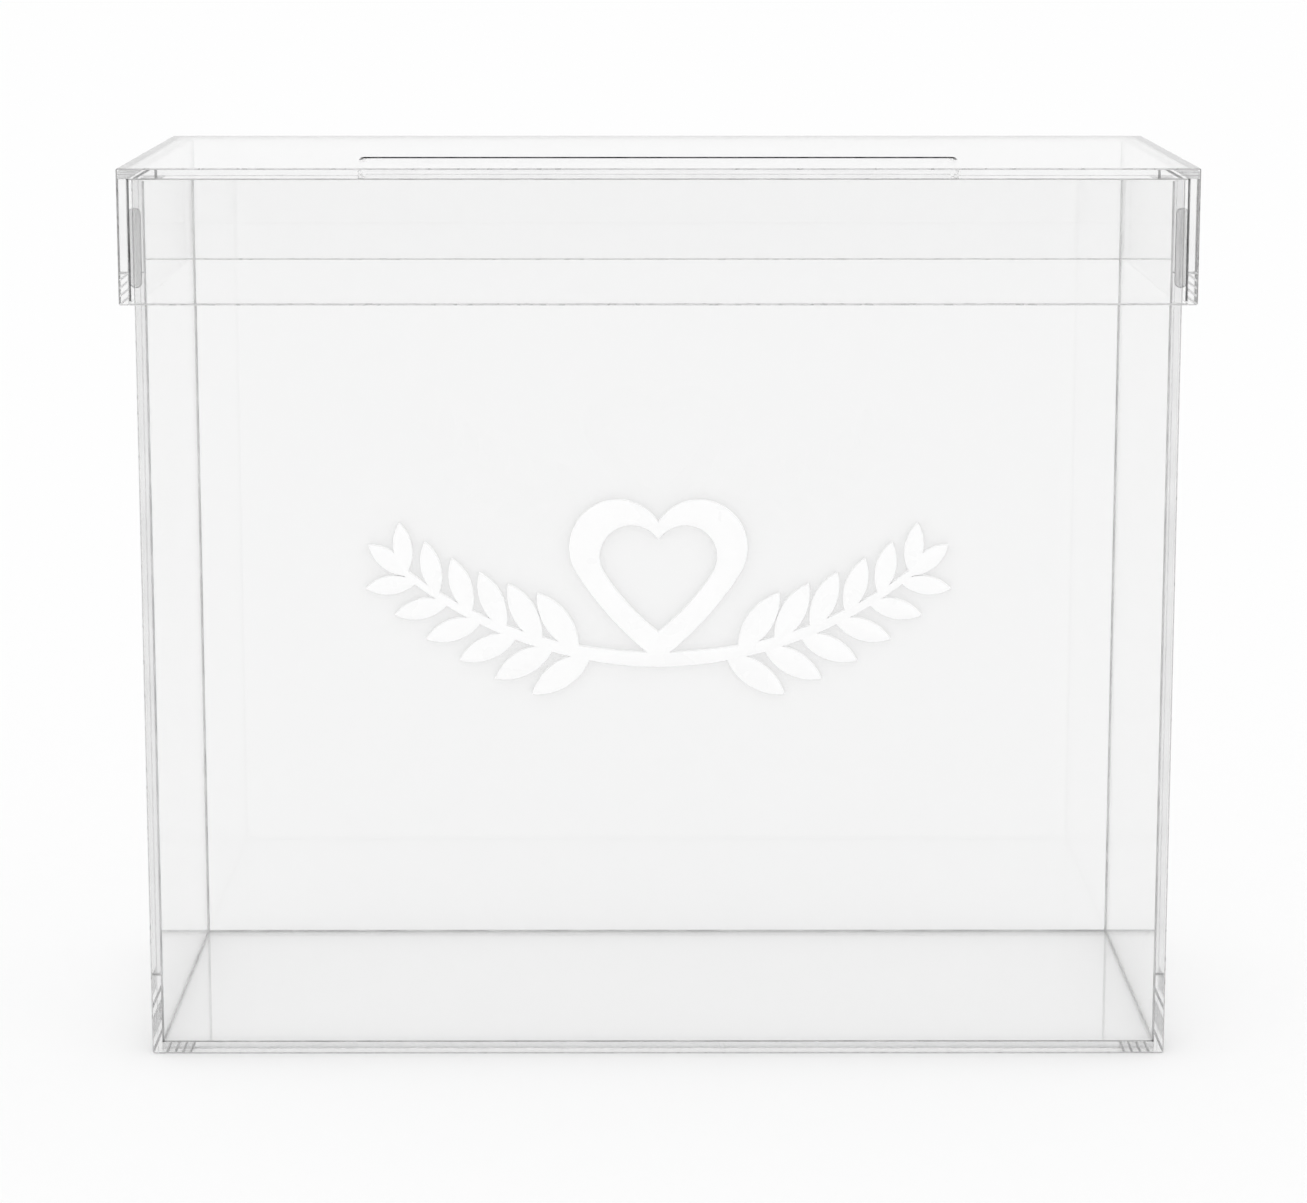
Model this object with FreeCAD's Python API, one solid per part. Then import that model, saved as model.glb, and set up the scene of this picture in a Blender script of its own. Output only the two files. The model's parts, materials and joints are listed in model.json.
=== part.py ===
"""Clear acrylic card box with a lift-off slotted lid, modelled sheet by sheet.

Frame: +Z up, the front of the box faces -Y, and the origin is at the middle of the underside. Millimetres.
"""
import FreeCAD, Part
import math
import os

# Sheets and box
SHEET = 3.0                # thickness of every clear sheet
BOX_WIDTH = 300.0          # outside, along X
BOX_DEPTH = 130.0          # outside, along Y
BOX_HEIGHT = 259.0         # underside to rim
EDGE_BREAK = 0.4           # polished arris on every edge that can be touched

# Lid
LID_GAP = 1.0              # clearance between wall and skirt, all round
SKIRT_HEIGHT = 36.0        # skirt below the lid's top sheet

# Card slot in the lid's top sheet
SLOT_LENGTH = 174.0
SLOT_WIDTH = 12.0
SLOT_CORNER_RADIUS = 1.5
SLOT_FROM_FRONT = 39.0     # from the lid's front edge to the slot's middle line

# White cut-out on the front panel: a heart between two leafy sprigs
ORNAMENT_THICKNESS = 2.0
ORNAMENT_HEIGHT_UP = 140.0  # from the underside to the ornament's own zero line
HEART_LOBE_RADIUS = 14.0
HEART_LOBE_SPREAD = 11.8   # middle line to each lobe's centre
HEART_LOBE_RISE = 12.5     # zero line to the lobes' centres
HEART_TIP_DROP = 21.0      # zero line down to the heart's tip
HEART_HOLE_SCALE = 0.66    # size of the heart's opening against its outline
HEART_HOLE_RISE = 1.6      # the opening sits this much higher, so the stroke is heavier below
LOBE_END_ANGLE = math.radians(32.0)
STEM_DROP = 20.5           # zero line down to the stem at the middle
STEM_SPAN = 75.0           # middle line to the stem's far end
STEM_RISE = 27.0           # from the stem's middle up to its far end
STEM_WIDTH_AT_MIDDLE = 4.4
STEM_WIDTH_AT_END = 1.8
LEAF_STATIONS = 6          # pairs of leaves on each sprig
LEAF_LENGTH_FIRST = 21.0
LEAF_LENGTH_LAST = 15.0
LEAF_FULLNESS = 0.36       # width of a leaf against its length
LEAF_SPREAD = math.radians(44.0)
LEAF_STAGGER = 0.35        # upper leaves sit this share of a step further out than lower ones
FIRST_LEAF_AT = 0.24       # share of the stem's sweep
LAST_LEAF_AT = 0.92

# Worked out from the above
HALF_WIDTH = BOX_WIDTH / 2
HALF_DEPTH = BOX_DEPTH / 2
LID_OVERHANG = LID_GAP + SHEET
LID_HALF_WIDTH = HALF_WIDTH + LID_OVERHANG
LID_HALF_DEPTH = HALF_DEPTH + LID_OVERHANG
SKIRT_BOTTOM = BOX_HEIGHT - SKIRT_HEIGHT
LID_TOP = BOX_HEIGHT + SHEET
SLOT_MIDDLE = -LID_HALF_DEPTH + SLOT_FROM_FRONT
TOLERANCE = 1e-4


def sheet(low, high):
    """A flat sheet given by its lowest and highest corners."""
    size = [high[i] - low[i] for i in range(3)]
    return Part.makeBox(*size, FreeCAD.Vector(*low))


def edges_at(solid, *places):
    """Edges of solid that lie at all the coordinates of any one place, such as {"x": 150, "z": 0}."""
    found = []
    for edge in solid.Edges:
        for place in places:
            box = edge.BoundBox
            spans = {"x": (box.XMin, box.XMax), "y": (box.YMin, box.YMax), "z": (box.ZMin, box.ZMax)}
            if all(abs(end - at) < TOLERANCE for axis, at in place.items() for end in spans[axis]):
                found.append(edge)
                break
    return found


def break_edges(solid, *places):
    """Take the polished arris off the edges at the places."""
    return solid.makeChamfer(EDGE_BREAK, edges_at(solid, *places))


def base_panel():
    inner_x = HALF_WIDTH - SHEET
    inner_y = HALF_DEPTH - SHEET
    return sheet((-inner_x, -inner_y, 0), (inner_x, inner_y, SHEET))


def cross_wall(half_length, outer_y, bottom, top, top_is_free):
    """A front or back sheet between the two side sheets; outer_y is its outward face."""
    outward = math.copysign(1, outer_y)
    inner_y = outer_y - outward * SHEET
    wall = sheet((-half_length, min(outer_y, inner_y), bottom), (half_length, max(outer_y, inner_y), top))
    free = [{"y": outer_y, "z": bottom}]
    free += [{"y": y, "z": top} for y in (outer_y, inner_y)] if top_is_free else [{"y": inner_y, "z": bottom}]
    return break_edges(wall, *free)


def side_wall(outer_x, half_depth, bottom, top, top_is_free):
    """A left or right sheet of full depth; outer_x is its outward face."""
    outward = math.copysign(1, outer_x)
    inner_x = outer_x - outward * SHEET
    wall = sheet((min(outer_x, inner_x), -half_depth, bottom), (max(outer_x, inner_x), half_depth, top))
    free = [{"x": outer_x, "y": y} for y in (-half_depth, half_depth)]
    free += [{"z": bottom, "x": outer_x}]
    free += [{"z": bottom, "y": y} for y in (-half_depth, half_depth)]
    if top_is_free:
        free += [{"z": top, "x": x} for x in (outer_x, inner_x)]
        free += [{"z": top, "y": y} for y in (-half_depth, half_depth)]
    else:
        free += [{"z": bottom, "x": inner_x}]
    return break_edges(wall, *free)


def slot_cutter():
    """The card slot, rounded in its four corners and reaching past both faces of the lid's top sheet."""
    low = (-SLOT_LENGTH / 2, SLOT_MIDDLE - SLOT_WIDTH / 2, BOX_HEIGHT - SHEET)
    high = (SLOT_LENGTH / 2, SLOT_MIDDLE + SLOT_WIDTH / 2, LID_TOP + SHEET)
    cutter = sheet(low, high)
    corners = [{"x": x, "y": y} for x in (low[0], high[0]) for y in (low[1], high[1])]
    return cutter.makeFillet(SLOT_CORNER_RADIUS, edges_at(cutter, *corners))


def slot_lip(top):
    """Edges of the card slot in the upper face of the lid's top sheet."""
    half_length = SLOT_LENGTH / 2 + TOLERANCE
    half_width = SLOT_WIDTH / 2 + TOLERANCE
    lip = []
    for edge in edges_at(top, {"z": LID_TOP}):
        middle = edge.BoundBox.Center
        if abs(middle.x) < half_length and abs(middle.y - SLOT_MIDDLE) < half_width:
            lip.append(edge)
    return lip


def lid_top():
    """Top sheet over the skirts, flush with their outer faces, with the card slot cut through it."""
    low = (-LID_HALF_WIDTH, -LID_HALF_DEPTH, BOX_HEIGHT)
    high = (LID_HALF_WIDTH, LID_HALF_DEPTH, LID_TOP)
    top = sheet(low, high)
    free = [{"x": x, "y": y} for x in (low[0], high[0]) for y in (low[1], high[1])]
    free += [{"x": x, "z": LID_TOP} for x in (low[0], high[0])]
    free += [{"y": y, "z": LID_TOP} for y in (low[1], high[1])]
    slotted = break_edges(top, *free).cut(slot_cutter())
    return slotted.makeChamfer(EDGE_BREAK, slot_lip(slotted))


def on_front(across, up):
    """A point of the ornament's plane, on the front panel's outer face."""
    return FreeCAD.Vector(across, -HALF_DEPTH, ORNAMENT_HEIGHT_UP + up)


def arc(start, middle, end):
    return Part.Arc(on_front(*start), on_front(*middle), on_front(*end)).toShape()


def face_of(edges):
    return Part.Face(Part.Wire(edges))


def tangent_arc_middle(start, normal, end):
    """Middle point of the arc that leaves start square to normal and ends at end."""
    across, up = start[0] - end[0], start[1] - end[1]
    radius = (across ** 2 + up ** 2) / (2 * (across * normal[0] + up * normal[1]))
    centre = (start[0] - radius * normal[0], start[1] - radius * normal[1])
    chord = ((start[0] + end[0]) / 2 - centre[0], (start[1] + end[1]) / 2 - centre[1])
    reach = math.hypot(*chord)
    return centre[0] + radius * chord[0] / reach, centre[1] + radius * chord[1] / reach


def heart_face(scale, rise):
    """A heart of two round lobes, each run on by a tangent arc to the tip."""
    radius = HEART_LOBE_RADIUS * scale
    spread = HEART_LOBE_SPREAD * scale
    lobe_up = HEART_LOBE_RISE * scale + rise
    tip = (0.0, -HEART_TIP_DROP * scale + rise)
    notch = (0.0, lobe_up + math.sqrt(radius ** 2 - spread ** 2))
    across = radius * math.cos(LOBE_END_ANGLE)
    down = radius * math.sin(LOBE_END_ANGLE)
    edges = []
    for side in (1, -1):
        normal = (side * across / radius, -down / radius)
        lobe_end = (side * (spread + across), lobe_up - down)
        lobe_top = (side * (spread + down), lobe_up + across)
        edges.append(arc(notch, lobe_top, lobe_end))
        edges.append(arc(lobe_end, tangent_arc_middle(lobe_end, normal, tip), tip))
    return face_of(Part.__sortEdges__(edges))


def stem_radius():
    """Radius of the arc that runs level from the middle and reaches the stem's far end."""
    return (STEM_SPAN ** 2 + STEM_RISE ** 2) / (2 * STEM_RISE)


def stem_point(share, offset=0.0):
    """Point at a share of the stem's sweep, offset upwards off its middle line."""
    angle = share * math.asin(STEM_SPAN / stem_radius())
    reach = stem_radius() - offset
    return reach * math.sin(angle), -STEM_DROP + stem_radius() - reach * math.cos(angle)


def stem_face():
    """The right sprig's stem, an arc that narrows evenly to its far end."""
    half_widths = {0.0: STEM_WIDTH_AT_MIDDLE / 2, 1.0: STEM_WIDTH_AT_END / 2}
    half_widths[0.5] = (half_widths[0.0] + half_widths[1.0]) / 2
    upper = [stem_point(share, half_widths[share]) for share in (0.0, 0.5, 1.0)]
    lower = [stem_point(share, -half_widths[share]) for share in (0.0, 0.5, 1.0)]
    far_end = Part.LineSegment(on_front(*upper[2]), on_front(*lower[2])).toShape()
    near_end = Part.LineSegment(on_front(*lower[0]), on_front(*upper[0])).toShape()
    return face_of([arc(*upper), far_end, arc(*reversed(lower)), near_end])


def leaf_face(share, turn, length):
    """A pointed leaf of two arcs, growing from the stem at an angle turn off its run."""
    root = stem_point(share)
    heading = share * math.asin(STEM_SPAN / stem_radius()) + turn
    along = (math.cos(heading), math.sin(heading))
    tip = (root[0] + length * along[0], root[1] + length * along[1])
    middle = ((root[0] + tip[0]) / 2, (root[1] + tip[1]) / 2)
    bulge = length * LEAF_FULLNESS / 2
    left = (middle[0] - bulge * along[1], middle[1] + bulge * along[0])
    right = (middle[0] + bulge * along[1], middle[1] - bulge * along[0])
    return face_of([arc(root, left, tip), arc(tip, right, root)])


def sprig_faces():
    """The right sprig: stem, staggered pairs of leaves that shrink outwards, and an end leaf."""
    faces = [stem_face()]
    step = (LAST_LEAF_AT - FIRST_LEAF_AT) / (LEAF_STATIONS - 1)
    for station in range(LEAF_STATIONS):
        share = FIRST_LEAF_AT + station * step
        length = LEAF_LENGTH_FIRST + (LEAF_LENGTH_LAST - LEAF_LENGTH_FIRST) * station / (LEAF_STATIONS - 1)
        faces.append(leaf_face(share + LEAF_STAGGER * step, LEAF_SPREAD, length))
        faces.append(leaf_face(share, -LEAF_SPREAD, length))
    faces.append(leaf_face(1.0 - LEAF_STAGGER * step, 0.0, LEAF_LENGTH_LAST))
    return faces


def front_ornament():
    """Heart and sprigs as one cut sheet, standing on the front panel's outer face."""
    outward = FreeCAD.Vector(0, -ORNAMENT_THICKNESS, 0)
    heart = heart_face(1.0, 0.0).extrude(outward)
    opening = heart_face(HEART_HOLE_SCALE, HEART_HOLE_RISE).extrude(outward)
    right = [face.extrude(outward) for face in sprig_faces()]
    left = [piece.mirror(FreeCAD.Vector(0, 0, 0), FreeCAD.Vector(1, 0, 0)) for piece in right]
    return heart.multiFuse(right + left).cut(opening).removeSplitter()


def build():
    """Every piece by its node's name."""
    inner_x = HALF_WIDTH - SHEET
    lid_inner_x = LID_HALF_WIDTH - SHEET
    return {
        "base_panel": base_panel(),
        "front_panel": cross_wall(inner_x, -HALF_DEPTH, 0.0, BOX_HEIGHT, True),
        "back_panel": cross_wall(inner_x, HALF_DEPTH, 0.0, BOX_HEIGHT, True),
        "left_panel": side_wall(-HALF_WIDTH, HALF_DEPTH, 0.0, BOX_HEIGHT, True),
        "right_panel": side_wall(HALF_WIDTH, HALF_DEPTH, 0.0, BOX_HEIGHT, True),
        "front_ornament": front_ornament(),
        "lid_top": lid_top(),
        "lid_front_skirt": cross_wall(lid_inner_x, -LID_HALF_DEPTH, SKIRT_BOTTOM, BOX_HEIGHT, False),
        "lid_back_skirt": cross_wall(lid_inner_x, LID_HALF_DEPTH, SKIRT_BOTTOM, BOX_HEIGHT, False),
        "lid_left_skirt": side_wall(-LID_HALF_WIDTH, LID_HALF_DEPTH, SKIRT_BOTTOM, BOX_HEIGHT, False),
        "lid_right_skirt": side_wall(LID_HALF_WIDTH, LID_HALF_DEPTH, SKIRT_BOTTOM, BOX_HEIGHT, False),
    }


def main():
    os.makedirs("parts", exist_ok=True)
    for node, shape in build().items():
        solids = shape.Solids
        print(f"{node}: {len(solids)} solid, {shape.Volume:.0f} mm3, valid {shape.isValid()}")
        shape.exportStep(f"parts/{node}.step")


main()
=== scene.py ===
"""Looks of the clear acrylic card box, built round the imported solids. Metres, +Z up, front faces -Y."""
import json
import math

import bmesh
import bpy
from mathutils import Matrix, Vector


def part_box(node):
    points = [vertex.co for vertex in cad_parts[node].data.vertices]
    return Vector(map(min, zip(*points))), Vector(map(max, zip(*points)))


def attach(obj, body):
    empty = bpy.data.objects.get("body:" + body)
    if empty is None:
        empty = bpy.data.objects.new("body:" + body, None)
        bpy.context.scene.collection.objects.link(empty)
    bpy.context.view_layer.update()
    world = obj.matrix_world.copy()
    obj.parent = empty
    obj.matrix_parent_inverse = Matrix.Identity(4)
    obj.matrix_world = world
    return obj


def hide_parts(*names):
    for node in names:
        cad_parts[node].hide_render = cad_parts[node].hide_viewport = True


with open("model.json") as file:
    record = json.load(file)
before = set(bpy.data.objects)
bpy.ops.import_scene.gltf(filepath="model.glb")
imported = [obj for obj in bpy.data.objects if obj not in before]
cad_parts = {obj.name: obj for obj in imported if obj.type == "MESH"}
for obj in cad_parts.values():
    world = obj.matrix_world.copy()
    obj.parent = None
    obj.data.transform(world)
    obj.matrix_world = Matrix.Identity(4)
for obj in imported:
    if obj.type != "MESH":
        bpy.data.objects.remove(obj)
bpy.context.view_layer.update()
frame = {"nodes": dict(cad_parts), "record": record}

MM = 0.001

# Camera, fitted to the photograph's edges
IMAGE_WIDTH_PX = 1307
FOCAL_PX = 3949.2
CAMERA_PLACE = Vector((-3.1, -1192.3, 346.5)) * MM
CAMERA_PITCH = 0.1843       # radians below level
CAMERA_YAW = -0.0015
SENSOR_WIDTH = 36.0         # millimetres, as the lens

# Studio
FLOOR_WHITE = 0.94
FLOOR_REACH = 30.0
CAMERA_REACH = 10 * FLOOR_REACH
FLOOR_DROP = 0.05 * MM      # keeps the floor clear of the box's underside
WORLD_LIGHT = 1.055         # lights the floor to just under white
WALL_TOP = 0.30             # sine of the height up to which the studio is white
CEILING_START = 0.55        # sine of the height from which its ceiling is dark
CEILING_TONE = 0.15
NO_DIFFUSE_BOUNCE = 0.5     # a count of diffuse bounces below this is none
LIGHT_BOUNCES = 128         # light runs down a sheet in many short bounces

# Sheets
ACRYLIC_IOR = 1.49
FACE_TINT = 0.96            # colour of the light that passes a broad face
SKIRT_TINT = 0.985
LID_TOP_SHADED_TINT = 0.88         # painted shade: the broad faces of the top sheet, tinted darker than the box's faces to give the top its greyer look
SLOT_TINT = 1.0             # the walls of the slot
FACE_WAVINESS = 0.02
LEVEL_WAVINESS = 0.002      # the level sheets, where a low view would stretch any wave
PAINTED_CONTACT_SHADE = 0.70         # painted shade: the front's tint right beside the cut-out, darkened to stand in for the cut-out's soft shadow
CONTACT_REACH = 7.0 * MM
CONTACT_FULL = 0.4          # share of open sky at which the painted contact shade is deepest
CONTACT_SAMPLES = 8
CONTACT_TOP = 200.0 * MM    # above this the front lies behind the lid and takes no contact shade
SHADE_HEIGHT = 22.0 * MM    # the sheets throw a deeper shadow below this height
LIGHT_PASSED_LOW = 0.78     # share of the studio light that passes one face, at the floor
LIGHT_PASSED_HIGH = 0.985   # and above the shade height
MERGE_DISTANCE = 0.001 * MM
FLAT_WITHIN = math.radians(0.5)
WELD_OVERLAP = 0.02 * MM    # a welded face runs this far into its neighbour, so no air is left between
RIM_GAP = 0.05 * MM         # air between the box's rim and the lid that rests on it
SLOT_INSET = 10.0 * MM      # faces this far inside the lid's top sheet belong to its slot
AXIS_ALIGNED = 0.999        # a face whose normal's largest part is below this is a broken edge
LEANING = 0.1               # least part of a slanted normal that counts as leaning that way
CLEAR_ENDS = {"-X": "weld_clear", "+X": "weld_clear"}
SKIRT_ENDS = CLEAR_ENDS | {"+Z": "weld_dark"}
WELDED_FACES = {
    "base_panel": {"-X": "weld_mottled", "+X": "weld_mottled", "-Y": "weld_fine", "+Y": "weld_fine"},
    "front_panel": CLEAR_ENDS,
    "back_panel": CLEAR_ENDS,
    "lid_front_skirt": SKIRT_ENDS,
    "lid_back_skirt": SKIRT_ENDS,
    "lid_left_skirt": {"+Z": "weld_side"},
    "lid_right_skirt": {"+Z": "weld_side"},
}
BROAD_FACES = {"base_panel": "base_face", "lid_top": "top_face"}
RIMMED_NODES = ("front_panel", "back_panel", "left_panel", "right_panel")

# Cement bead in the inside corners, and the wider run left in the lid's two front corners
BEAD_LEG = 0.4 * MM
BEAD_STEPS = 4
BEAD_END_GAP = 1.0 * MM
RUN_WIDTH = 3.6 * MM
RUN_THICKNESS = 0.5 * MM
RUN_BOTTOM = 227.8 * MM
RUN_TOP = 250.7 * MM
RUN_END_STEPS = 10
RUN_ROUNDING = 0.4 * MM
RUN_ROUNDING_STEPS = 3
RUN_STRETCH = (1.0, 1.0, 0.08)

# Textures, in cells per metre, with the ranges that they drive
PLAIN_DETAIL = 2.0
FINE_DETAIL = 3.0
FINEST_DETAIL = 4.0
MIDDLE_START = 0.35         # a noise's values mostly lie between these two
MIDDLE_END = 0.65
NOISE_MIDDLE = 0.5
WAVE_SCALE = 22.0
WAVE_HEIGHT = 0.2 * MM
CLOUD_SCALE = 60.0
EDGE_ROUGHNESS = 0.03
SCRAPE_SCALE = 400.0
SCRAPE_ROUGHNESS = (0.25, 0.45)
SCRAPE_CLEARNESS = 0.35
FILM_SCALE = 260.0
FILM_LEAST_ROUGHNESS = 0.05
BUBBLE_SCALE = 700.0
BUBBLE_RIM = (0.12, 0.22)   # from a bubble's inside to its outside, as a share of a cell
BUBBLE_HEIGHT = 0.1 * MM
BEAD_SCALE = 120.0
BEAD_CLEARNESS = 0.5
BEAD_ROUGHNESS = 0.2
STREAK_SCALE = 700.0
RUN_TINT = (0.64, 0.8)
RUN_ROUGHNESS = 0.1
WHITE_SCALE = 90.0
WHITE_TINT = (0.955, 0.97)
WHITE_ROUGHNESS = (0.25, 0.4)
WHITE_BUMP = 0.05
WHITE_HEIGHT = 0.1 * MM

# White cut-out
ORNAMENT_ROUNDING = 0.25 * MM
ORNAMENT_ROUNDING_STEPS = 2
SMOOTH_BELOW = math.radians(30)
ROUND_PROFILE = 0.5

RECORD = frame["record"]
CLEAR_NODES = [n["node"] for n in RECORD["subparts"] if n["material_slot"] == "clear_acrylic"]
BODY_OF = {node: body for body, nodes in RECORD["behaviour"]["bodies"].items() for node in nodes}


def add(tree, kind, inputs=None, **attributes):
    """A new shader node with its attributes and input values set."""
    made = tree.nodes.new("ShaderNode" + kind)
    for name, value in attributes.items():
        setattr(made, name, value)
    for name, value in (inputs or {}).items():
        made.inputs[name].default_value = value
    return made


def grey(value):
    return (value, value, value, 1.0)


def combine(tree, operation, first, second):
    """Two values joined by a Math node."""
    made = add(tree, "Math", operation=operation)
    tree.links.new(first, made.inputs[0])
    tree.links.new(second, made.inputs[1])
    return made.outputs["Value"]


def spread(tree, source, low, high, start=MIDDLE_START, end=MIDDLE_END):
    """Map a texture's middle range onto low to high."""
    made = add(tree, "MapRange", {"From Min": start, "From Max": end, "To Min": low, "To Max": high})
    tree.links.new(source, made.inputs["Value"])
    return made.outputs["Result"]


def height(tree):
    """Height above the underside, from the object's own coordinates."""
    coords = add(tree, "TexCoord")
    parts = add(tree, "SeparateXYZ")
    tree.links.new(coords.outputs["Object"], parts.inputs["Vector"])
    return parts.outputs["Z"]


def new_material(name, shader_inputs):
    """A material with one Principled shader; returns the material, its tree and that shader."""
    material = bpy.data.materials.new(name)
    material.use_nodes = True
    tree = material.node_tree
    tree.nodes.clear()
    output = add(tree, "OutputMaterial")
    shader = add(tree, "BsdfPrincipled", shader_inputs)
    tree.links.new(shader.outputs["BSDF"], output.inputs["Surface"])
    return material, tree, shader


def new_glass(name, shader_inputs, passed_low=LIGHT_PASSED_LOW):
    """A clear material that lets studio light and bounced light pass straight through, a little dimmed."""
    inputs = {"IOR": ACRYLIC_IOR, "Transmission Weight": 1.0}
    material, tree, shader = new_material(name, inputs | shader_inputs)
    path = add(tree, "LightPath")
    passes = combine(tree, "MAXIMUM", path.outputs["Is Shadow Ray"], path.outputs["Is Diffuse Ray"])
    window = add(tree, "BsdfTransparent")
    passed = spread(tree, height(tree), passed_low, LIGHT_PASSED_HIGH, 0.0, SHADE_HEIGHT)
    tree.links.new(passed, window.inputs["Color"])
    mix = add(tree, "MixShader")
    tree.links.new(passes, mix.inputs["Fac"])
    tree.links.new(shader.outputs["BSDF"], mix.inputs[1])
    tree.links.new(window.outputs["BSDF"], mix.inputs[2])
    output = next(n for n in tree.nodes if n.type == "OUTPUT_MATERIAL")
    tree.links.new(mix.outputs["Shader"], output.inputs["Surface"])
    return material, tree, shader


def noise(tree, scale, detail=PLAIN_DETAIL, stretch=(1.0, 1.0, 1.0)):
    """Noise over the object's own coordinates, scale in cells per metre."""
    coords = add(tree, "TexCoord")
    mapping = add(tree, "Mapping", {"Scale": stretch})
    made = add(tree, "TexNoise", {"Scale": scale, "Detail": detail})
    tree.links.new(coords.outputs["Object"], mapping.inputs["Vector"])
    tree.links.new(mapping.outputs["Vector"], made.inputs["Vector"])
    return made


def bump(tree, shader, relief, strength, distance):
    made = add(tree, "Bump", {"Strength": strength, "Distance": distance})
    tree.links.new(relief, made.inputs["Height"])
    tree.links.new(made.outputs["Normal"], shader.inputs["Normal"])


def clear_face(name, tint, waviness=FACE_WAVINESS, passed_low=LIGHT_PASSED_LOW):
    """Polished cast sheet: clear, with a trace of tint and a faint waviness."""
    material, tree, shader = new_glass(name, {"Base Color": grey(tint), "Roughness": 0.0}, passed_low)
    waves = noise(tree, WAVE_SCALE)
    bump(tree, shader, waves.outputs["Fac"], waviness, WAVE_HEIGHT)
    return material


def front_face():
    """The front's outer face, with a soft shade painted into its tint round the cut-out that stands on it."""
    material, tree, shader = new_glass("clear_acrylic_front_painted_shade", {"Roughness": 0.0})
    # painted shade: ambient occlusion from the cut-out darkens the front's tint, a soft shadow drawn into its
    # colour
    contact = add(tree, "AmbientOcclusion", {"Distance": CONTACT_REACH}, samples=CONTACT_SAMPLES)
    lid_zone = add(tree, "Math", {1: CONTACT_TOP}, operation="GREATER_THAN")
    tree.links.new(height(tree), lid_zone.inputs[0])
    side = add(tree, "NewGeometry")
    unshaded = combine(tree, "MAXIMUM", lid_zone.outputs["Value"], side.outputs["Backfacing"])
    openness = combine(tree, "MAXIMUM", contact.outputs["AO"], unshaded)
    tint = spread(tree, openness, PAINTED_CONTACT_SHADE, FACE_TINT, CONTACT_FULL, 1.0)
    tree.links.new(tint, shader.inputs["Base Color"])
    waves = noise(tree, WAVE_SCALE)
    bump(tree, shader, waves.outputs["Fac"], FACE_WAVINESS, WAVE_HEIGHT)
    return material


def clear_edge(name, low, high):
    """Polished end of a sheet, where the tint of its whole length shows."""
    material, tree, shader = new_glass(name, {"Roughness": EDGE_ROUGHNESS})
    clouds = noise(tree, CLOUD_SCALE)
    tree.links.new(spread(tree, clouds.outputs["Fac"], low, high), shader.inputs["Base Color"])
    return material


def broken_edge(name, low, high):
    """Scraped arris: a satin grey line, partly the real frosting of a scraped edge and partly painted shade for
    the dark line that refraction draws along a sheet's edge.
    """
    inputs = {"IOR": ACRYLIC_IOR, "Transmission Weight": SCRAPE_CLEARNESS}
    material, tree, shader = new_material(name, inputs)
    scrape = noise(tree, SCRAPE_SCALE)
    tree.links.new(spread(tree, scrape.outputs["Fac"], low, high), shader.inputs["Base Color"])
    tree.links.new(spread(tree, scrape.outputs["Fac"], *SCRAPE_ROUGHNESS), shader.inputs["Roughness"])
    return material


def weld_film(name, low, high, softness, bubble_tint, relief):
    """Cement between two sheets: a mottled film with small trapped bubbles."""
    material, tree, shader = new_glass(name, {})
    clouds = noise(tree, FILM_SCALE, FINEST_DETAIL)
    film = spread(tree, clouds.outputs["Fac"], low, high, NOISE_MIDDLE - softness, NOISE_MIDDLE + softness)
    coords = add(tree, "TexCoord")
    cells = add(tree, "TexVoronoi", {"Scale": BUBBLE_SCALE})
    tree.links.new(coords.outputs["Object"], cells.inputs["Vector"])
    bubbles = spread(tree, cells.outputs["Distance"], bubble_tint, 1.0, *BUBBLE_RIM)
    tree.links.new(combine(tree, "MULTIPLY", film, bubbles), shader.inputs["Base Color"])
    roughness = spread(tree, clouds.outputs["Fac"], FILM_LEAST_ROUGHNESS, relief)
    tree.links.new(roughness, shader.inputs["Roughness"])
    bump(tree, shader, cells.outputs["Distance"], relief, BUBBLE_HEIGHT)
    return material


def cement_bead(name, low, high):
    """Cement that crept out of a joint: a thin glassy line, broken here and there."""
    material, tree, shader = new_material(name, {
        "IOR": ACRYLIC_IOR, "Transmission Weight": BEAD_CLEARNESS, "Roughness": BEAD_ROUGHNESS})
    runs = noise(tree, BEAD_SCALE, FINE_DETAIL)
    tree.links.new(spread(tree, runs.outputs["Fac"], low, high), shader.inputs["Base Color"])
    return material


def cement_run():
    """A wider run of cement seen through the lid's front: grey, with upright streaks."""
    material, tree, shader = new_glass("cement_run", {"Roughness": RUN_ROUGHNESS})
    streaks = noise(tree, STREAK_SCALE, FINE_DETAIL, RUN_STRETCH)
    tree.links.new(spread(tree, streaks.outputs["Fac"], *RUN_TINT), shader.inputs["Base Color"])
    return material


def white_acrylic():
    """White cast sheet with a soft gloss and the faint texture of its cut face."""
    material, tree, shader = new_material("white_acrylic_sheet", {"IOR": ACRYLIC_IOR})
    clouds = noise(tree, WHITE_SCALE, FINE_DETAIL)
    tree.links.new(spread(tree, clouds.outputs["Fac"], *WHITE_TINT), shader.inputs["Base Color"])
    tree.links.new(spread(tree, clouds.outputs["Fac"], *WHITE_ROUGHNESS), shader.inputs["Roughness"])
    bump(tree, shader, clouds.outputs["Fac"], WHITE_BUMP, WHITE_HEIGHT)
    return material


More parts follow.
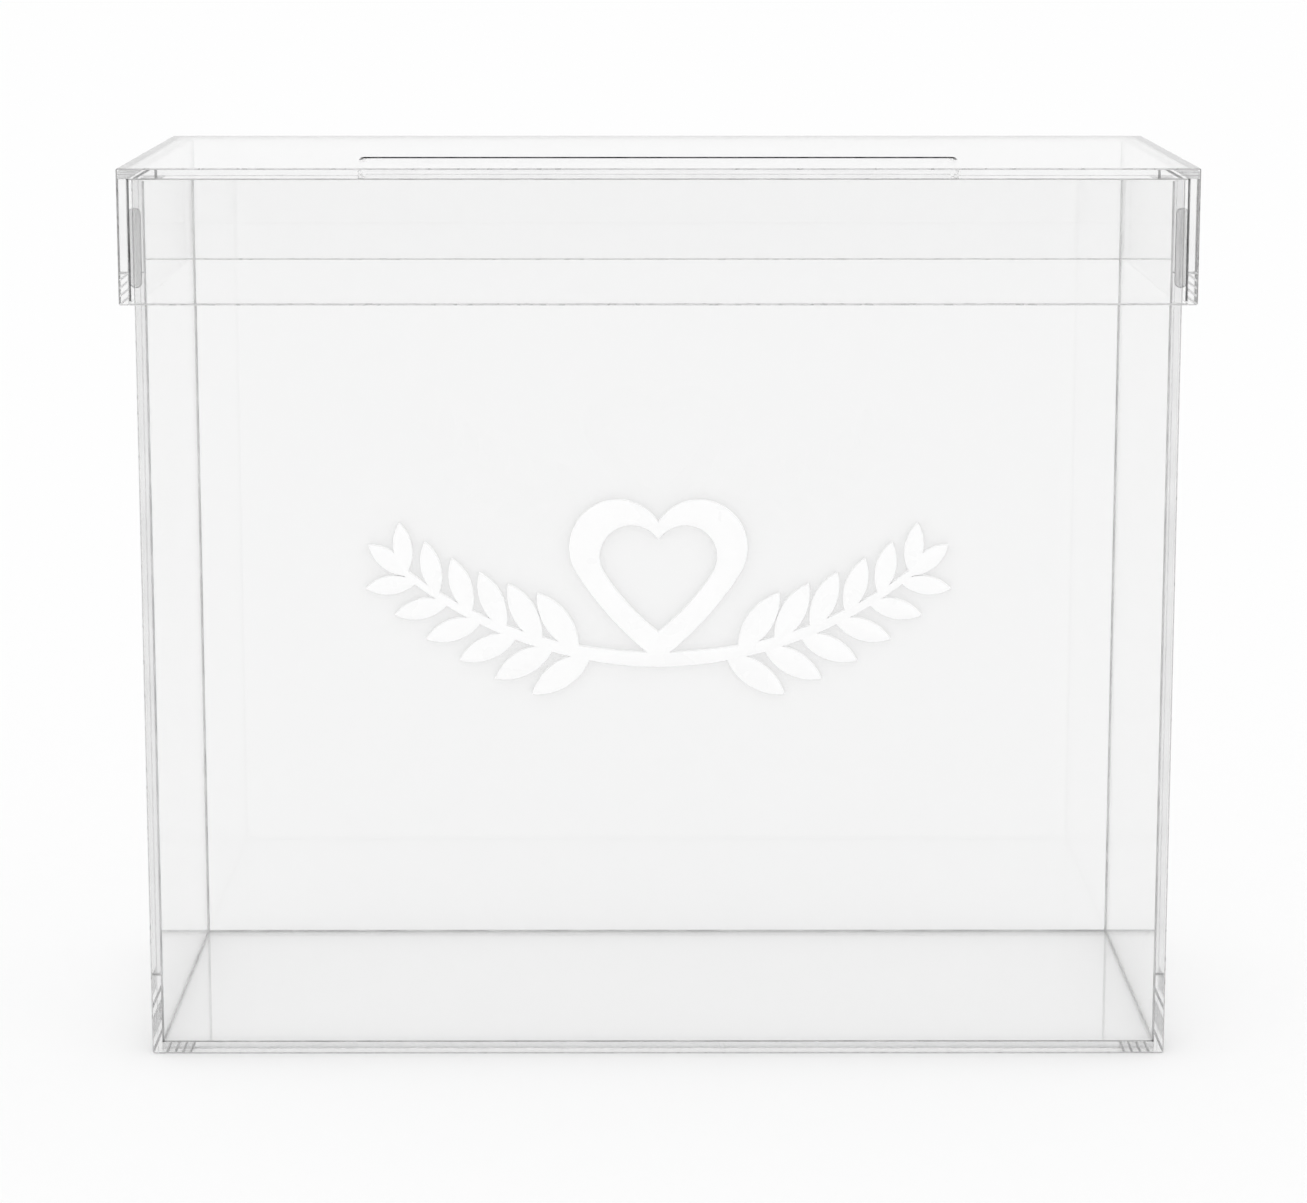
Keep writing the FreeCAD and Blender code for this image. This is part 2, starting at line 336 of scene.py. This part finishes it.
def sheet_materials():
    """Every material of the clear sheets, by the name that face_slot gives."""
    return {
        "face": clear_face("clear_acrylic_face", FACE_TINT),
        "skirt_face": clear_face("clear_acrylic_skirt", SKIRT_TINT),
        "base_face": clear_face("clear_acrylic_base", FACE_TINT, LEVEL_WAVINESS, LIGHT_PASSED_HIGH),
        "top_face": clear_face("clear_acrylic_top_painted_shade", LID_TOP_SHADED_TINT, LEVEL_WAVINESS),
        "slot_wall": clear_face("clear_acrylic_slot", SLOT_TINT, LEVEL_WAVINESS),
        "front": front_face(),
        "edge": clear_edge("clear_acrylic_edge", 0.76, 0.84),
        "lid_edge": clear_edge("clear_acrylic_lid_edge", 0.88, 0.94),
        # painted shade: lighter and darker copies of one scraped arris, for the dark lines along the sheets'
        # edges
        "arris": broken_edge("arris_scraped_painted_shade", 0.5, 0.66),
        "arris_pale": broken_edge("arris_scraped_painted_pale_shade", 0.6, 0.76),
        "arris_light": broken_edge("arris_scraped_painted_light_shade", 0.9, 0.96),
        "arris_deep": broken_edge("arris_scraped_painted_deep_shade", 0.22, 0.38),
        # painted shade: the slot's routed lip is near black, a dark line drawn where the slot holds only shade
        "slot_lip": broken_edge("slot_lip_routed_painted_shade", 0.0, 0.05),
        "weld_clear": weld_film("weld_clear", 0.85, 0.97, softness=0.15, bubble_tint=0.4, relief=0.3),
        "weld_fine": weld_film("weld_fine", 0.96, 1.0, softness=0.15, bubble_tint=0.85, relief=0.02),
        "weld_mottled": weld_film("weld_mottled", 0.3, 0.85, softness=0.08, bubble_tint=0.25, relief=0.3),
        "weld_dark": weld_film("weld_dark", 0.28, 0.6, softness=0.18, bubble_tint=0.5, relief=0.2),
        "weld_side": weld_film("weld_side", 0.16, 0.34, softness=0.25, bubble_tint=0.7, relief=0.2),
    }


def side_of(normal):
    """The axis direction of a face's normal, such as "-X", or "slant" for a broken edge."""
    axis = max(range(3), key=lambda i: abs(normal[i]))
    if abs(normal[axis]) < AXIS_ALIGNED:
        return "slant"
    return ("-" if normal[axis] < 0 else "+") + "XYZ"[axis]


def broad_sides(low, high):
    """The two directions in which a sheet is thinnest."""
    thin = min(range(3), key=lambda i: high[i] - low[i])
    return ("-" + "XYZ"[thin], "+" + "XYZ"[thin])


def face_slot(node, face, box):
    """Which of the sheet's materials a face takes."""
    side = side_of(face.normal)
    low, high = box
    middle = face.calc_center_median()
    of_lid = node.startswith("lid")
    if side in broad_sides(low, high):
        if node == "front_panel" and side == "-Y":
            return "front"
        return BROAD_FACES.get(node, "skirt_face" if of_lid else "face")
    inside = all(low[i] + SLOT_INSET < middle[i] < high[i] - SLOT_INSET for i in range(2))
    # painted shade: the slot's upward-facing lip takes a near-black grey
    if node == "lid_top" and inside:
        return "slot_lip" if face.normal.z > LEANING else "slot_wall"
    # painted shade: broken edges take a paler or deeper grey by which way they lean and on which sheet,
    # standing in for the dark lines that refraction draws along the edges
    if side == "slant":
        sideways = abs(face.normal.x) > LEANING
        downward = face.normal.z < -LEANING
        if node == "back_panel" and downward:
            return "arris_light"
        if sideways and downward:
            return "arris_pale"
        if of_lid:
            return "arris_deep" if sideways else "arris_pale"
        return "arris"
    welds = WELDED_FACES.get(node, {})
    return welds.get(side, "lid_edge" if of_lid else "edge")


def merged_form(node):
    """The node's solid as clean polygons, with its split vertices joined."""
    form = bmesh.new()
    form.from_mesh(frame["nodes"][node].data)
    bmesh.ops.remove_doubles(form, verts=form.verts, dist=MERGE_DISTANCE)
    bmesh.ops.dissolve_limit(form, angle_limit=FLAT_WITHIN, verts=form.verts, edges=form.edges)
    bmesh.ops.recalc_face_normals(form, faces=form.faces)
    form.normal_update()
    return form


def finish_piece(name, form, body, materials):
    """Turn a form into an object that rides on its body."""
    mesh = bpy.data.meshes.new(name)
    form.to_mesh(mesh)
    form.free()
    for material in materials:
        mesh.materials.append(material)
    piece = bpy.data.objects.new(name, mesh)
    bpy.context.collection.objects.link(piece)
    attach(piece, body)
    return piece


def push_faces(form, faces, distance):
    """Move each of the faces along its own normal."""
    moves = {}
    for face in faces:
        for vert in face.verts:
            moves.setdefault(vert, {})[side_of(face.normal)] = face.normal.copy()
    for vert, normals in moves.items():
        vert.co += sum(normals.values(), Vector()) * distance


def round_rim(form, side, radius, steps):
    """Round the edges all round the faces that look to one side."""
    faces = {face for face in form.faces if side_of(face.normal) == side}
    rim = [edge for edge in form.edges if len(faces.intersection(edge.link_faces)) == 1]
    bmesh.ops.bevel(form, geom=rim, offset=radius, segments=steps, profile=ROUND_PROFILE, affect="EDGES")


def smooth(piece):
    piece.data.shade_smooth()
    piece.data.set_sharp_from_angle(angle=SMOOTH_BELOW)


def sheet_piece(node, materials):
    """A clear sheet with its own materials on faces, ends, broken edges and welds."""
    form = merged_form(node)
    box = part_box(node)
    names = list(materials)
    for face in form.faces:
        face.material_index = names.index(face_slot(node, face, box))
    welded = [f for f in form.faces if names[f.material_index].startswith("weld")]
    push_faces(form, welded, WELD_OVERLAP)
    if node in RIMMED_NODES:
        push_faces(form, [f for f in form.faces if side_of(f.normal) == "+Z"], -RIM_GAP)
    piece = finish_piece(node + "_sheet", form, BODY_OF[node], materials.values())
    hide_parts(node)


def bead_run(form, start, end, legs, material_index=0):
    """One bead from start to end: a hollow round in the corner between the two directions in legs."""
    first, second = legs
    centre = (first + second) * BEAD_LEG
    outline = [-(first + second) * WELD_OVERLAP, first * BEAD_LEG - second * WELD_OVERLAP]
    for step in range(BEAD_STEPS + 1):
        angle = math.pi / 2 * step / BEAD_STEPS
        outline.append(centre - second * BEAD_LEG * math.cos(angle) - first * BEAD_LEG * math.sin(angle))
    outline.append(second * BEAD_LEG - first * WELD_OVERLAP)
    rings = [[form.verts.new(place + offset) for offset in outline] for place in (start, end)]
    faces = [form.faces.new(rings[0]), form.faces.new(reversed(rings[1]))]
    count = len(outline)
    for i in range(count):
        j = (i + 1) % count
        faces.append(form.faces.new((rings[0][i], rings[1][i], rings[1][j], rings[0][j])))
    for face in faces:
        face.material_index = material_index


def inward(value, axis):
    """Unit vector along an axis that points from a wall at value towards the middle."""
    made = Vector((0, 0, 0))
    made[axis] = -math.copysign(1, value)
    return made


def bead_piece(name, body, low, high, floor_z, materials):
    """Beads in a box's upright corners and round one end; the front uprights take the last material."""
    form = bmesh.new()
    rise = Vector((0, 0, 1 if floor_z == low.z else -1))
    far_z = high.z if floor_z == low.z else low.z
    for x in (low.x, high.x):
        for y in (low.y, high.y):
            legs = (inward(x, 0), inward(y, 1))
            index = len(materials) - 1 if y == low.y else 0
            bead_run(form, Vector((x, y, floor_z)), Vector((x, y, far_z)), legs, index)
    for x in (low.x, high.x):
        bead_run(form, Vector((x, low.y, floor_z)), Vector((x, high.y, floor_z)), (inward(x, 0), rise))
    for y in (low.y, high.y):
        bead_run(form, Vector((low.x, y, floor_z)), Vector((high.x, y, floor_z)), (inward(y, 1), rise))
    bmesh.ops.recalc_face_normals(form, faces=form.faces)
    finish_piece(name, form, body, materials)


def cement_beads():
    """Beads inside the box, round its floor, and inside the lid, round its top."""
    pale = cement_bead("cement_bead", 0.6, 0.85)
    deep = cement_bead("cement_bead_deep", 0.1, 0.3)
    rim_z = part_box("left_panel")[1].z - BEAD_END_GAP
    low = Vector((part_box("left_panel")[1].x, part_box("front_panel")[1].y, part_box("base_panel")[1].z))
    high = Vector((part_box("right_panel")[0].x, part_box("back_panel")[0].y, rim_z))
    bead_piece("box_cement_bead", "box", low, high, low.z, [pale])
    skirt_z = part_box("lid_left_skirt")[0].z + BEAD_END_GAP
    low = Vector((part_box("lid_left_skirt")[1].x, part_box("lid_front_skirt")[1].y, skirt_z))
    high = Vector((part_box("lid_right_skirt")[0].x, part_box("lid_back_skirt")[0].y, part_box("lid_top")[0].z))
    bead_piece("lid_cement_bead", "lid", low, high, high.z, [pale, deep])


def run_outline(middle_x):
    """Outline of one cement run in X and Z: two straight sides with half-round ends."""
    radius = RUN_WIDTH / 2
    outline = []
    for middle_z, start in ((RUN_TOP - radius, 0.0), (RUN_BOTTOM + radius, math.pi)):
        for step in range(RUN_END_STEPS + 1):
            angle = start + math.pi * step / RUN_END_STEPS
            outline.append((middle_x + radius * math.cos(angle), middle_z + radius * math.sin(angle)))
    return outline


def cement_runs():
    """The runs of cement on the lid front's inner face, one in each corner, domed towards the box."""
    form = bmesh.new()
    face_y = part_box("lid_front_skirt")[1].y
    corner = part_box("lid_right_skirt")[0].x
    for side in (-1, 1):
        outline = run_outline(side * (corner - RUN_WIDTH / 2))
        near = [form.verts.new((x, face_y - WELD_OVERLAP, z)) for x, z in outline]
        far = [form.verts.new((x, face_y + RUN_THICKNESS, z)) for x, z in outline]
        form.faces.new(near)
        form.faces.new(reversed(far))
        for i in range(len(outline)):
            j = (i + 1) % len(outline)
            form.faces.new((near[i], far[i], far[j], near[j]))
    bmesh.ops.recalc_face_normals(form, faces=form.faces)
    form.normal_update()
    round_rim(form, "+Y", RUN_ROUNDING, RUN_ROUNDING_STEPS)
    smooth(finish_piece("lid_cement_run", form, "lid", [cement_run()]))


def ornament_piece():
    """The white cut-out, its front edges slightly rounded and its back face bonded to the panel."""
    node = "front_ornament"
    form = merged_form(node)
    push_faces(form, [face for face in form.faces if side_of(face.normal) == "+Y"], WELD_OVERLAP)
    round_rim(form, "-Y", ORNAMENT_ROUNDING, ORNAMENT_ROUNDING_STEPS)
    piece = finish_piece(node + "_cutout", form, BODY_OF[node], [white_acrylic()])
    smooth(piece)
    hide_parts(node)


def make_camera():
    data = bpy.data.cameras.new("camera")
    data.sensor_width = SENSOR_WIDTH
    data.lens = FOCAL_PX * SENSOR_WIDTH / IMAGE_WIDTH_PX
    data.clip_end = CAMERA_REACH
    camera = bpy.data.objects.new("camera", data)
    camera.location = CAMERA_PLACE
    camera.rotation_euler = (math.pi / 2 - CAMERA_PITCH, 0, CAMERA_YAW)
    bpy.context.collection.objects.link(camera)
    bpy.context.scene.camera = camera


def make_floor():
    corners = [(x * FLOOR_REACH, y * FLOOR_REACH, 0) for x, y in ((-1, -1), (1, -1), (1, 1), (-1, 1))]
    mesh = bpy.data.meshes.new("floor")
    mesh.from_pydata(corners, [], [(0, 1, 2, 3)])
    floor = bpy.data.objects.new("floor", mesh)
    floor.location.z = -FLOOR_DROP
    bpy.context.collection.objects.link(floor)
    material = new_material("floor_white", {
        "Base Color": grey(FLOOR_WHITE), "Roughness": 1.0, "Specular IOR Level": 0.0})[0]
    mesh.materials.append(material)


def make_world():
    """White all round for diffuse light; polished surfaces see white walls under a dark ceiling."""
    world = bpy.data.worlds.new("studio")
    bpy.context.scene.world = world
    world.use_nodes = True
    tree = world.node_tree
    tree.nodes.clear()
    link = tree.links.new
    path = add(tree, "LightPath")
    coords = add(tree, "TexCoord")
    direction = add(tree, "SeparateXYZ")
    link(coords.outputs["Generated"], direction.inputs["Vector"])
    studio = spread(tree, direction.outputs["Z"], 1.0, CEILING_TONE, WALL_TOP, CEILING_START)
    seen = add(tree, "Background", {"Color": grey(1.0)})
    link(combine(tree, "MAXIMUM", studio, path.outputs["Is Camera Ray"]), seen.inputs["Strength"])
    light = add(tree, "Background", {"Color": grey(1.0), "Strength": WORLD_LIGHT})
    polished = combine(tree, "MAXIMUM", path.outputs["Is Glossy Ray"], path.outputs["Is Transmission Ray"])
    direct = combine(tree, "MAXIMUM", polished, path.outputs["Is Camera Ray"])
    before_diffuse = add(tree, "Math", {1: NO_DIFFUSE_BOUNCE}, operation="LESS_THAN")
    link(path.outputs["Diffuse Depth"], before_diffuse.inputs[0])
    share = combine(tree, "MULTIPLY", direct, before_diffuse.outputs["Value"])
    mix = add(tree, "MixShader")
    link(share, mix.inputs["Fac"])
    link(light.outputs["Background"], mix.inputs[1])
    link(seen.outputs["Background"], mix.inputs[2])
    output = add(tree, "OutputWorld")
    link(mix.outputs["Shader"], output.inputs["Surface"])


def main():
    scene = bpy.context.scene
    scene.view_settings.view_transform = "Standard"
    scene.cycles.max_bounces = LIGHT_BOUNCES
    scene.cycles.transmission_bounces = LIGHT_BOUNCES
    scene.cycles.glossy_bounces = LIGHT_BOUNCES
    make_camera()
    make_world()
    make_floor()
    materials = sheet_materials()
    for node in CLEAR_NODES:
        sheet_piece(node, materials)
    cement_beads()
    cement_runs()
    ornament_piece()


main()
